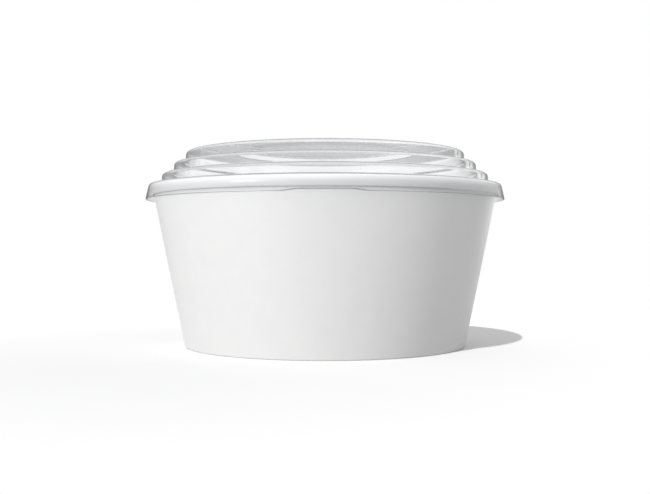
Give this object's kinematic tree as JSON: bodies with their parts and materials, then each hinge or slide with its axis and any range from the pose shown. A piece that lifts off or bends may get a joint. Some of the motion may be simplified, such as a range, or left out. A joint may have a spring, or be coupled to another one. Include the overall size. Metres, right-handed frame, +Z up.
{
  "type": "paper bowl with lid",
  "caption": "Round tapered paper food bowl with a rolled rim, side seam and set-in base, closed by a clear stepped lid with a pull tab that lifts off.",
  "frame": {"origin": "on the bowl's axis, in the plane of the foot ring it stands on", "axes": "+Z up along the bowl's axis; the lid's pull tab points to -Y and the wall's side seam is at +Y"},
  "size_m": [0.1529, 0.1614, 0.0839],
  "materials": {
    "paperboard": "white coated paperboard, satin",
    "clear_plastic": "clear formed sheet, glossy"
  },
  "bodies": {
    "bowl": {"bowl_wall": "paperboard", "bowl_base": "paperboard"},
    "lid": {"lid": "clear_plastic"}
  },
  "joints": [
    {"name": "lid_lift", "type": "slide", "parent": "bowl", "child": "lid", "axis": [0, 0, 1], "range_m": [0, 0.08]}
  ]
}
